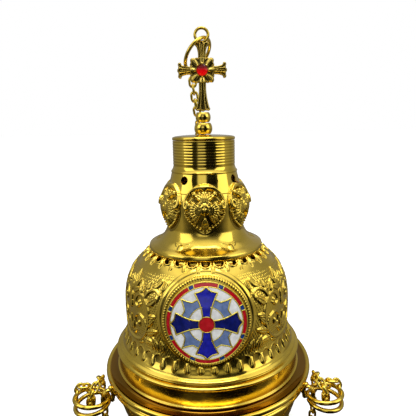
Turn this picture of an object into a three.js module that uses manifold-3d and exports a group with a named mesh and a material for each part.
// Thurible: a hanging incense burner of spun and cast brass, gold plated.
// Millimetres, +Z up, front towards -Y, origin on the axis at the underside of the foot.
import * as THREE from "three";
import { mergeVertices } from "three/addons/utils/BufferGeometryUtils.js";
import Module from "manifold-3d";

const wasm = await Module();
wasm.setup();

// Driving dimensions.
const GAP = 0.3; // clearance between pieces that touch
const ROUND = 36; // facets round a large turned piece, a multiple of three
const SMALL_ROUND = 20; // facets round a small turned piece
const FOOT_R = 32;
const FOOT_PLATE_T = 1.2;
const BOWL_FLOOR_Z = 22;
const CUP_FLOOR_Z = 33.5;
const CUP_T = 1.2;
const RIM_R = 60;
const RIM_Z = 75;
const SHEET = 1.3; // thickness of the spun sheet
const LID_FOOT_R = 56.2;
const LID_FOOT_Z = 77.2;
const SKIRT_R = 31.9;
const COLLAR_TOP_Z = 177;
const CROWN_R = 17;
const CROWN_TOP_Z = 204;
const SMOKE_HOLE_R = 2.15;
const SMOKE_HOLE_Z = 182;
const SMOKE_HOLE_TURN = -34;
const THIRD = 120; // degrees between repeated parts round the axis
const MEDALLION_R = 20;
const MEDALLION_Z = 117.7;
const MEDALLION_REACH = 42.6; // axis to the middle of the chord across the plaque
const MEDALLION_TILT = 11.6;
const MEDALLION_T = 1.2;
const LUG_TURN = 60; // degrees from the front to the left and right lugs
const LUG_HOLE_R = 2.4;
const LUG_HOLE_REACH = 62;
const LUG_HOLE_Z = 70.6;
const LUG_RING_R = 8.75; // middle of the wire
const LUG_WIRE_R = 0.9;
const LUG_COIL_GAP = 3.2; // how far the split ring's coils spring apart
const STUD_R = 1.35;
const CROSS_Z = 240.5;
const CROSS_T = 2.6;
const EYE_Z = 258.2;
const EYE_R = 3.45;
const EYE_WIRE_R = 0.6;
const CROSS_RING_R = 9.3;
const CROSS_RING_WIRE_R = 0.7;
const CHAIN_R = 2; // half a link's width
const CAP_Y = 125; // the hand cap lies behind the bowl
const CAP_R = 30;
const CAP_RISE = 14;
const CAP_EDGE_Z = 7.2;
const CAP_T = 1.2;

const deg = THREE.MathUtils.degToRad;
const at = (x, y, z) => new THREE.Vector3(x, y, z);

const gold = new THREE.MeshStandardMaterial({ color: 0xd8a93a, metalness: 1, roughness: 0.12 });
const darkGold = new THREE.MeshStandardMaterial({ color: 0x8a6a2c, metalness: 1, roughness: 0.35 });
const steel = new THREE.MeshStandardMaterial({ color: 0x9a9a98, metalness: 1, roughness: 0.4 });
const enamel = new THREE.MeshStandardMaterial({ color: 0x1c2f8f, metalness: 0, roughness: 0.2 });
const ruby = new THREE.MeshStandardMaterial({ color: 0xb0101a, metalness: 0, roughness: 0.05 });

const censer = new THREE.Group();

function add(name, geometry, material, parent = censer) {
  const mesh = new THREE.Mesh(geometry, material);
  mesh.name = name;
  parent.add(mesh);
  return mesh;
}

// A group turned about the vertical axis, counted from the front towards the right.
function turned(degrees) {
  const group = new THREE.Group();
  group.rotation.z = deg(degrees);
  censer.add(group);
  return group;
}

// Twice the signed area of an outline, positive when it runs anticlockwise.
function signedArea(points) {
  return points.reduce((sum, [x, y], i) => {
    const [nextX, nextY] = points[(i + 1) % points.length];
    return sum + x * nextY - nextX * y;
  }, 0);
}

// A body turned about Z from a closed outline of [radius, height] points.
function lathe(outline, facets = ROUND) {
  const points = signedArea(outline) > 0 ? [...outline] : [...outline].reverse();
  const start = points.findIndex(([r], i) => r === 0 && points[(i + 1) % points.length][0] > 0);
  const onAxis = start >= 0;
  const ordered = onAxis ? [...points.slice(start), ...points.slice(0, start)] : [...points, points[0]];
  const profile = ordered.map(([r, z]) => new THREE.Vector2(r, z));
  return new THREE.LatheGeometry(profile, facets).rotateX(Math.PI / 2);
}

// Points of an arc in the plane of an outline, both ends included.
function arc(centreR, centreZ, radius, from, to, count) {
  return Array.from({ length: count + 1 }, (_, i) => {
    const angle = deg(from + ((to - from) * i) / count);
    return [centreR + radius * Math.cos(angle), centreZ + radius * Math.sin(angle)];
  });
}

// The sheet inside an outer skin of [radius, height] points, from the bottom edge to the top edge.
function shell(outer, thickness = SHEET) {
  const inner = outer.map(([r, z], i) => {
    const [beforeR, beforeZ] = outer[Math.max(0, i - 1)];
    const [afterR, afterZ] = outer[Math.min(outer.length - 1, i + 1)];
    const run = Math.hypot(afterR - beforeR, afterZ - beforeZ);
    return [r - (thickness * (afterZ - beforeZ)) / run, z + (thickness * (afterR - beforeR)) / run];
  });
  return [...outer, ...inner.reverse()];
}

function solid(geometry) {
  const bare = geometry.clone();
  bare.deleteAttribute("normal");
  bare.deleteAttribute("uv");
  const merged = mergeVertices(bare, 1e-3);
  const mesh = new wasm.Mesh({
    numProp: 3,
    vertProperties: merged.attributes.position.array,
    triVerts: new Uint32Array(merged.index.array),
  });
  return new wasm.Manifold(mesh);
}

function geometryOf(body) {
  const mesh = body.getMesh();
  const geometry = new THREE.BufferGeometry();
  geometry.setAttribute("position", new THREE.BufferAttribute(new Float32Array(mesh.vertProperties), 3));
  geometry.setIndex(new THREE.BufferAttribute(new Uint32Array(mesh.triVerts), 1));
  const flat = geometry.toNonIndexed();
  flat.computeVertexNormals();
  return flat;
}

// A cylinder along Z, from z0 to z1.
function rod(radius, z0, z1, facets = SMALL_ROUND) {
  const geometry = new THREE.CylinderGeometry(radius, radius, z1 - z0, facets);
  return geometry.rotateX(Math.PI / 2).translate(0, 0, (z0 + z1) / 2);
}

// A closed ring of wire; its middle circle lies in the plane across the normal.
function wireRing(radius, wireR, centre, normal, facets = 24, sides = 8) {
  const ring = new THREE.TorusGeometry(radius, wireR, sides, facets);
  const turn = new THREE.Quaternion().setFromUnitVectors(at(0, 0, 1), normal.clone().normalize());
  return ring.applyQuaternion(turn).translate(centre.x, centre.y, centre.z);
}

// A round bar along a smooth curve through the points.
function bar(curve, radius, sides, steps) {
  const section = new THREE.Shape();
  for (let i = 0; i < sides; i += 1) {
    const angle = (2 * Math.PI * i) / sides;
    const point = [radius * Math.cos(angle), radius * Math.sin(angle)];
    if (i === 0) section.moveTo(...point);
    else section.lineTo(...point);
  }
  section.closePath();
  return new THREE.ExtrudeGeometry(section, { steps, bevelEnabled: false, extrudePath: curve });
}

// ---- Foot and bowl -------------------------------------------------------------------------

// The foot flares to the ground and closes at a flat top that the bolt passes through.
function foot() {
  const skin = [
    [FOOT_R, 0], [FOOT_R, 2.2], [27.5, 4.6], [22, 7.4],
    [16.5, 10.8], [12.6, 15], [16, BOWL_FLOOR_Z - SHEET - GAP],
  ];
  const outline = [
    ...skin, [3.3, BOWL_FLOOR_Z - SHEET - GAP], [3.3, 18.6], [11.2, 18.2],
    [11.2, 14], [15.4, 9.6], [21, 6.2], [26.8, 3.4], [30.6, 1.9], [30.6, 0],
  ];
  return lathe(outline);
}

function footPlate() {
  return lathe([[0, 0], [30.2, 0], [30.2, FOOT_PLATE_T], [0, FOOT_PLATE_T]]);
}

// A spun bowl with a flared lip, a beaded rim and a second moulding under it.
function bowl() {
  const outer = [
    [3.4, BOWL_FLOOR_Z - SHEET], [17, BOWL_FLOOR_Z - SHEET], [26, 24], [35.5, 30], [44, 39],
    [50.5, 50], [54, 61], [54.4, 67], [57.6, 69.2], [58.4, 70.4], [57.6, 72.6], [59.2, 73.4],
    [RIM_R, RIM_Z], [58.9, 76.6],
  ];
  const inner = [
    [57.2, 76.3], [54.6, 74.4], [52.8, 71], [51.4, 60],
    [47.6, 50.2], [42.2, 40.6], [34.4, 32], [25.6, 26.6], [17, BOWL_FLOOR_Z + 1], [3.4, BOWL_FLOOR_Z + 1],
  ];
  return lathe([...outer, ...inner]);
}

// A hexagon-headed bolt whose shank joins the foot to the bowl.
function footBolt() {
  const shank = solid(rod(3, 11.5, BOWL_FLOOR_Z + 2, 16));
  const head = solid(rod(5.6, BOWL_FLOOR_Z + 1 + GAP, BOWL_FLOOR_Z + 4.2, 6));
  return geometryOf(shank.add(head));
}

// A washer, or a nut where it has six facets.
function boredPlate(outerR, boreR, z0, z1, facets) {
  const plate = solid(rod(outerR, z0, z1, facets));
  return geometryOf(plate.subtract(solid(rod(boreR, z0 - 1, z1 + 1, 16))));
}

// A removable pan for the charcoal; its turned-out edge rests on the bowl's wall.
function coalCup() {
  const half = [
    [0, 0], [30, 0], [36, 2.5], [38.5, 8], [39.8, 24.4], [49.6, 25.4], [50.6, 26.2],
    [49.4, 26.7], [38.9, 25.8], [37.4, 8.4], [35.2, 3.8], [29.6, CUP_T], [0, CUP_T],
  ];
  return lathe(half.map(([r, z]) => [r, CUP_FLOOR_Z + z]));
}

// ---- Lugs and split rings ------------------------------------------------------------------

// A cast tab standing in a radial plane on the rim, with a hole for the split ring.
function lug() {
  const outline = new THREE.Shape();
  outline.moveTo(59, 66.6);
  outline.lineTo(LUG_HOLE_REACH, 67);
  outline.absarc(LUG_HOLE_REACH, LUG_HOLE_Z, 3.6, -Math.PI / 2, Math.PI / 2, false);
  outline.lineTo(60.6, 75);
  outline.lineTo(60.6, 73);
  outline.lineTo(59, 72.3);
  outline.closePath();
  const hole = new THREE.Path();
  hole.absarc(LUG_HOLE_REACH, LUG_HOLE_Z, LUG_HOLE_R, 0, 2 * Math.PI, true);
  outline.holes.push(hole);
  const plate = new THREE.ExtrudeGeometry(outline, { depth: 3, bevelEnabled: false, curveSegments: 8 });
  return plate.rotateX(Math.PI / 2).translate(0, 1.5, 0).rotateZ(-Math.PI / 2);
}

// Two sprung coils of wire that part on the far side; one steps down to the other in the lug's hole.
const STEP_HALF = 0.45; // half the angle of that step
const END_GAP = 0.6; // angle from the middle of the hole to each end of the wire

class SplitRing extends THREE.Curve {
  getPoint(share, target = new THREE.Vector3()) {
    const angle = END_GAP + share * (4 * Math.PI - 2 * END_GAP);
    const passed = THREE.MathUtils.smoothstep(angle, 2 * Math.PI - STEP_HALF, 2 * Math.PI + STEP_HALF);
    const apart = 2 * LUG_WIRE_R + GAP + (LUG_COIL_GAP * (1 - Math.cos(angle))) / 2;
    const reach = LUG_HOLE_REACH + LUG_RING_R * (1 - Math.cos(angle));
    const height = LUG_HOLE_Z + LUG_WIRE_R + GAP / 2 + 0.8 * (1 - Math.cos(angle)) - apart * passed;
    return target.set(LUG_RING_R * Math.sin(angle), -reach, height);
  }
}

function lugs() {
  const sides = { left: -LUG_TURN, right: LUG_TURN, back: 180 };
  for (const [side, turn] of Object.entries(sides)) {
    const group = turned(turn);
    add(`lug_${side}`, lug(), gold, group);
    add(`lug_ring_${side}`, bar(new SplitRing(), LUG_WIRE_R, 6, 32), gold, group);
  }
}

// ---- Lid -----------------------------------------------------------------------------------

const DOME_SKIN = [
  [LID_FOOT_R, LID_FOOT_Z], [53.4, 79.8], [52.6, 84.8], [53.3, 86], [52, 88.6],
  [48.4, 93.2], [46.6, 99], [46.3, 112], [46, 123], [43.3, 131.4], [38.4, 138.6], [30.6, 144.4],
];

function dome() {
  return lathe(shell(DOME_SKIN));
}

// A skin moved outwards by `offset`, with its points kept in order.
function grown(skin, offset) {
  return shell(skin, -offset).slice(skin.length).reverse();
}

// A round enamelled plate, pressed to the dome's own curve.
function medallion() {
  const skin = DOME_SKIN.slice(5);
  const plate = solid(lathe([...grown(skin, GAP), ...grown(skin, GAP + MEDALLION_T).reverse()]));
  const drum = rod(MEDALLION_R, 0, 20, 32).rotateX(Math.PI / 2 - deg(MEDALLION_TILT));
  return geometryOf(plate.intersect(solid(drum.translate(0, -MEDALLION_REACH, MEDALLION_Z))));
}

function medallions() {
  const places = { front: 0, right: THIRD, left: -THIRD };
  for (const [place, turn] of Object.entries(places)) {
    add(`medallion_${place}`, medallion(), enamel, turned(turn));
  }
}

// The upper tier: a flared skirt, a waist and a bulge.
function collar() {
  const skin = [
    [SKIRT_R, 144.8], [SKIRT_R, 147], [26.4, 149.4], [22.8, 153.6], [21.6, 157.4],
    [23.4, 164.6], [24.2, 169], [23.6, 173], [21.2, COLLAR_TOP_Z],
  ];
  const inside = [
    [19.4, COLLAR_TOP_Z], [22.2, 172], [22.7, 168], [21.8, 164.6], [20.2, 157.4],
    [21.4, 153], [25.6, 148.2], [30.6, 145.8],
  ];
  return lathe([...skin, ...inside]);
}

// The chimney: flared below with the smoke holes, then a bead and an upright neck.
function crown() {
  const skin = [
    [21, COLLAR_TOP_Z + GAP], [19.4, 181.6], [18, 187],
    [18.2, 187.9], [CROWN_R, 190.6], [CROWN_R, CROWN_TOP_Z],
  ];
  const inside = [
    [CROWN_R - 1.6, CROWN_TOP_Z], [CROWN_R - 1.6, 190], [16.6, 186.6], [19.4, COLLAR_TOP_Z + GAP],
  ];
  let body = solid(lathe([...skin, ...inside], 28));
  for (let i = 0; i < 4; i += 1) {
    const drill = rod(SMOKE_HOLE_R, 10, 30, 12).rotateX(Math.PI / 2).translate(0, 0, SMOKE_HOLE_Z);
    body = body.subtract(solid(drill.rotateZ(deg(SMOKE_HOLE_TURN + 90 * i))));
  }
  return geometryOf(body);
}

function crownCap() {
  const z = CROWN_TOP_Z + GAP;
  return lathe([
    [1.7, z], [CROWN_R, z], [CROWN_R + 0.3, z + 1], [CROWN_R - 0.4, z + 1.9], [CROWN_R - 2, z + 2.4], [1.7, z + 2.6],
  ], 28);
}

function bead(radius, z0, z1) {
  const middle = (z0 + z1) / 2;
  const edge = (Math.asin((z1 - middle) / radius) * 180) / Math.PI;
  return lathe([[1.7, z0], ...arc(0, middle, radius, -edge, edge, 6), [1.7, z1]], 16);
}

// The threaded stud that draws the beads and the cap down on to the crown; the nut is inside the crown.
function stud() {
  return rod(STUD_R, 198.5, 218.9, 12);
}

function finialNut() {
  return boredPlate(3.2, STUD_R + GAP + 0.1, 201.2, 203.8, 6);
}

// Half the outline of one arm that widens to three lobes, along +Y from `root` to `tip`.
function armSide(root, tip, narrow, wide) {
  const flare = (share) => narrow + (wide - narrow) * share ** 2;
  const shank = [0, 0.35, 0.65, 0.85].map((share) => [flare(share), root + (tip - root) * share]);
  return [...shank, [wide, tip - 1.1], [wide - 0.5, tip - 0.3], [wide * 0.5, tip - 0.4], [0, tip]];
}

// A latin cross with flared arms round a lobed square, its eye on top.
function cross() {
  const half = 6.2;
  const centre = [[2.2, half], [4.6, half], [5.9, 5.9], [half, 4.6], [half, 2.2]];
  const arm = (tip, narrow) => armSide(half, tip, narrow, 3.8);
  const turnPoint = ([x, y], quarter) => {
    if (quarter === 0) return [x, y];
    if (quarter === 1) return [y, -x];
    if (quarter === 2) return [-x, -y];
    return [-y, x];
  };
  const tips = [14.4, 13.2, 21.3, 13.2];
  const outline = tips.flatMap((tip, quarter) => {
    const right = arm(tip, 1.9);
    const left = right.slice(0, -1).map(([x, y]) => [-x, y]);
    return [...left, ...right.reverse(), ...centre].map((point) => turnPoint(point, quarter));
  });
  const shape = new THREE.Shape(outline.map(([x, y]) => new THREE.Vector2(x, y)));
  const plate = new THREE.ExtrudeGeometry(shape, { depth: CROSS_T, bevelEnabled: false });
  plate.rotateX(Math.PI / 2).translate(0, CROSS_T / 2, CROSS_Z);
  const eye = wireRing(EYE_R, EYE_WIRE_R, at(0, 0, EYE_Z), at(0, 1, 0), 16, 6);
  return geometryOf(solid(plate).add(solid(eye)));
}

// A faceted glass stone on the front of the cross.
function gem() {
  const back = CROSS_T / 2 + GAP;
  const stone = lathe([[0, back], [2.95, back], [2.95, back + 0.7], [2, back + 1.7], [0, back + 2]], 16);
  return stone.rotateX(Math.PI / 2).translate(0, 0, CROSS_Z);
}

// The ring hangs in the eye and leans to the back and the left.
const HANG = at(-0.31, 0.52, -0.79).normalize();
const CROSS_RING_TOP = at(0.6, 0, EYE_Z - 1.3);
const CROSS_RING_SIDE = at(-0.63, -0.735, -0.236).normalize();

function crossRing() {
  const centre = CROSS_RING_TOP.clone().addScaledVector(HANG, CROSS_RING_R);
  const normal = HANG.clone().cross(CROSS_RING_SIDE);
  return wireRing(CROSS_RING_R, CROSS_RING_WIRE_R, centre, normal, 24, 6);
}

// ---- Hand cap ------------------------------------------------------------------------------

const CAP_BALL_R = (CAP_R ** 2 + CAP_RISE ** 2) / (2 * CAP_RISE);
const CAP_BALL_Z = CAP_EDGE_Z + CAP_RISE - CAP_BALL_R;
const CAP_HOLE = { x: -9, y: -8, r: 4.5 };
const CAP_POST_Z = CAP_EDGE_Z + CAP_RISE;
const FINGER_PIVOT_Z = CAP_POST_Z + 4.4;
const FINGER_RING_R = 10.9;
const FINGER_WIRE_R = 1.1;
const PULL_RING_R = 7.6;
const PULL_WIRE_R = 0.9;
const CAP_EYE_R = 2.6;
const CAP_EYE_WIRE_R = 0.8;

// A shallow dome with a hole beside its middle for the lid's chain.
function handCap() {
  const edge = (Math.asin(CAP_R / CAP_BALL_R) * 180) / Math.PI;
  const outer = arc(0, CAP_BALL_Z, CAP_BALL_R, 90 - edge, 90, 5);
  const inner = arc(0, CAP_BALL_Z, CAP_BALL_R - CAP_T, 90 - edge, 90, 5);
  outer.at(-1)[0] = 0;
  inner.at(-1)[0] = 0;
  const body = solid(lathe([...outer, ...inner.reverse()], 28));
  const drill = solid(rod(CAP_HOLE.r, 0, 40, 16).translate(CAP_HOLE.x, CAP_HOLE.y, 0));
  return geometryOf(body.subtract(drill)).translate(0, CAP_Y, 0);
}

// The post on the cap, cross-drilled for the finger ring.
function capPost() {
  const post = solid(lathe([
    [0, CAP_POST_Z + GAP], [4.4, CAP_POST_Z + GAP], [4.4, CAP_POST_Z + 1.2], [2.9, CAP_POST_Z + 2],
    [2.9, CAP_POST_Z + 6.2], [1.8, CAP_POST_Z + 7.4], [0, CAP_POST_Z + 7.8],
  ], 16));
  const drill = rod(FINGER_WIRE_R + 0.6, -6, 6, 12).rotateX(Math.PI / 2).translate(0, 0, FINGER_PIVOT_Z);
  return geometryOf(post.subtract(solid(drill))).translate(0, CAP_Y, 0);
}

// The finger ring lies to the right, drooping towards the dome.
function fingerRing() {
  const droop = deg(22);
  const along = at(Math.cos(droop), 0, -Math.sin(droop));
  const centre = at(0, CAP_Y, FINGER_PIVOT_Z).addScaledVector(along, FINGER_RING_R);
  return wireRing(FINGER_RING_R, FINGER_WIRE_R, centre, at(Math.sin(droop), 0, Math.cos(droop)), 24, 6);
}

// The pull ring lies on the dome's near left flank.
const PULL_LEAN = 42.7;
const PULL_OUT = at(-Math.SQRT1_2, -Math.SQRT1_2, 0);

function pullRing() {
  const normal = PULL_OUT.clone().multiplyScalar(Math.sin(deg(PULL_LEAN))).setZ(Math.cos(deg(PULL_LEAN)));
  const centre = at(0, CAP_Y, CAP_BALL_Z).addScaledVector(normal, CAP_BALL_R + PULL_WIRE_R + GAP);
  return wireRing(PULL_RING_R, PULL_WIRE_R, centre, normal, 20, 6);
}

const CAP_EYES = { left: 210, right: 330, back: 90 };

// An eye under the edge for each of the three chains; the cap stands on them.
function capEyes() {
  for (const [side, angle] of Object.entries(CAP_EYES)) {
    const out = at(Math.cos(deg(angle)), Math.sin(deg(angle)), 0);
    const centre = out.clone().multiplyScalar(CAP_R - 3).add(at(0, CAP_Y, CAP_EYE_R + CAP_EYE_WIRE_R));
    const across = at(-out.y, out.x, 0);
    add(`cap_eye_${side}`, wireRing(CAP_EYE_R, CAP_EYE_WIRE_R, centre, across, 12, 6), gold);
  }
}

// ---- Chains --------------------------------------------------------------------------------

const TABLE = CHAIN_R + 0.4; // height of a chain's middle where it lies on the table

// From the split ring over a small heap and down beside the bowl, as [outward, along, height].
const CHAIN_FALL = [
  [77.4, 5.4, 75.4], [76.6, 5.5, 79.6], [73.8, 5.9, 83], [69.8, 6.6, 84.4], [66, 7.6, 83.2],
  [63.2, 8.6, 79.8], [62.2, 9.4, 74.6], [62.2, 9.6, 62], [62, 9.4, 42], [61.8, 9, 22],
];

// The rest of each side chain's run, for the right-hand side: along the table, back and to the cap's eye.
const SIDE_RUN = [
  [57.4, -20, 11], [57.6, -14, 4.6], [57, -5, TABLE], [55.8, 10, TABLE], [55.2, 26, TABLE],
  [56, 42, TABLE], [60, 60, TABLE], [65.6, 77, TABLE], [69.4, 95, TABLE], [70, 115, TABLE], [70, 145, TABLE],
  [70, 175, TABLE], [69.8, 209, TABLE], [67.6, 216.6, TABLE], [61.8, 219.4, TABLE], [56, 216, TABLE],
  [54.4, 208, TABLE], [54.4, 180, TABLE], [54.4, 150, TABLE], [54.4, 124, TABLE], [53.6, 107, TABLE],
  [49, 97.4, TABLE], [41.4, 95, TABLE], [34.6, 99.2, TABLE], [30.4, 107.8, TABLE],
];

// The back chain runs under the cap and folds to and fro behind it.
const BACK_RUN = [
  [8.8, 64, 10], [9.6, 69.6, 4], [11, 78, TABLE], [12, 96, TABLE], [12, 120, TABLE], [12.4, 140, TABLE],
  [17, 153, TABLE], [28, 160, TABLE], [40, 167, TABLE], [47, 180, TABLE], [48.4, 198, TABLE],
  [44.6, 212, TABLE], [32, 218, TABLE], [10, 218, TABLE], [-14, 218, TABLE], [-32, 218, TABLE],
  [-40.4, 215.4, TABLE], [-44, 207.4, TABLE], [-40.4, 199.4, TABLE], [-32, 196.6, TABLE], [-10, 196.4, TABLE],
  [12, 196, TABLE], [25, 194.6, TABLE], [32.4, 189.6, TABLE], [33, 181.4, TABLE], [28, 175.6, TABLE],
  [20, 172.4, TABLE], [8, 170.8, TABLE], [1, 166.8, TABLE], [-0.6, 159.6, TABLE],
];

// The lid's chain: behind the cross, down the back of the lid, over the rim and up through the hand cap.
const LID_RUN = [
  [-5.9, 10.4, 239], [-4.9, 10.6, 231], [-4.2, 11.2, 222], [-4, 13, 214.4], [-4.2, 16.8, 210.6],
  [-4.8, 20.2, 205], [-5.1, 20.6, 195], [-5.8, 21.6, 186], [-7, 24.8, 177], [-8.2, 26.8, 168],
  [-10, 30.2, 156], [-11.6, 34, 147.4], [-13.2, 38.8, 140], [-14.6, 43.6, 132.4], [-15.6, 46.8, 122],
  [-15.8, 47.4, 108], [-16.2, 48.8, 97], [-17, 53, 89], [-17.8, 56.6, 82.4], [-18.6, 60.4, 76.4],
  [-19, 61.8, 68], [-19, 62, 50], [-19, 62, 32], [-19.4, 62.6, 15], [-20.6, 66.4, 5.4], [-23.4, 74, TABLE],
  [-25.6, 83, TABLE], [-23.6, 93, TABLE], [-18.4, 102, TABLE], [-12.4, 110, 4.6], [-9.4, 115.4, 11.4],
  [-9, 117, 19.6], [-9.4, 116.6, 23.6], [-10.8, 115.2, 26.4], [-12.8, 113.2, 26.6], [-14.8, 110.4, 23.4],
  [-15.4, 109.6, 19.2],
];

function chain(name, points, steps) {
  const curve = new THREE.CatmullRomCurve3(points.map(([x, y, z]) => at(x, y, z)));
  curve.arcLengthDivisions = 1200;
  add(name, bar(curve, CHAIN_R, 8, steps), gold);
}

// A point of CHAIN_FALL beside the lug at `turn`, with its heap on the side that `side` says.
function beside(turn, side, [out, along, height]) {
  const angle = deg(turn);
  const x = out * Math.sin(angle) - side * along * Math.cos(angle);
  const y = -out * Math.cos(angle) - side * along * Math.sin(angle);
  return [x, y, height];
}

function chains() {
  const mirrored = SIDE_RUN.map(([x, y, z]) => [-x, y, z]);
  const fall = (turn, side) => CHAIN_FALL.map((point) => beside(turn, side, point));
  chain("chain_right", [...fall(LUG_TURN, -1), ...SIDE_RUN], 44);
  chain("chain_left", [...fall(-LUG_TURN, 1), ...mirrored], 44);
  chain("chain_back", [...fall(180, 1), ...BACK_RUN], 44);
  chain("chain_lid", LID_RUN, 34);
}

// ---- Assembly ------------------------------------------------------------------------------

add("foot_plate", footPlate(), gold);
add("foot", foot(), gold);
add("bowl", bowl(), gold);
add("foot_bolt", footBolt(), steel);
add("foot_washer", boredPlate(6.5, 3.4, 16.8, 17.9, 16), steel);
add("foot_nut", boredPlate(5.6, 3.4, 12.6, 16.5, 6), steel);
add("coal_cup", coalCup(), darkGold);
lugs();
add("dome", dome(), gold);
medallions();
add("collar", collar(), gold);
add("crown", crown(), gold);
add("crown_cap", crownCap(), gold);
add("bead_lower", bead(4.55, 207.2, 213.2), gold);
add("bead_upper", bead(3.55, 213.5, 218.8), gold);
add("finial_stud", stud(), steel);
add("finial_nut", finialNut(), steel);
add("cross", cross(), darkGold);
add("cross_gem", gem(), ruby);
add("cross_ring", crossRing(), gold);
add("hand_cap", handCap(), gold);
add("cap_post", capPost(), gold);
add("finger_ring", fingerRing(), gold);
add("pull_ring", pullRing(), gold);
capEyes();
chains();

export default censer;
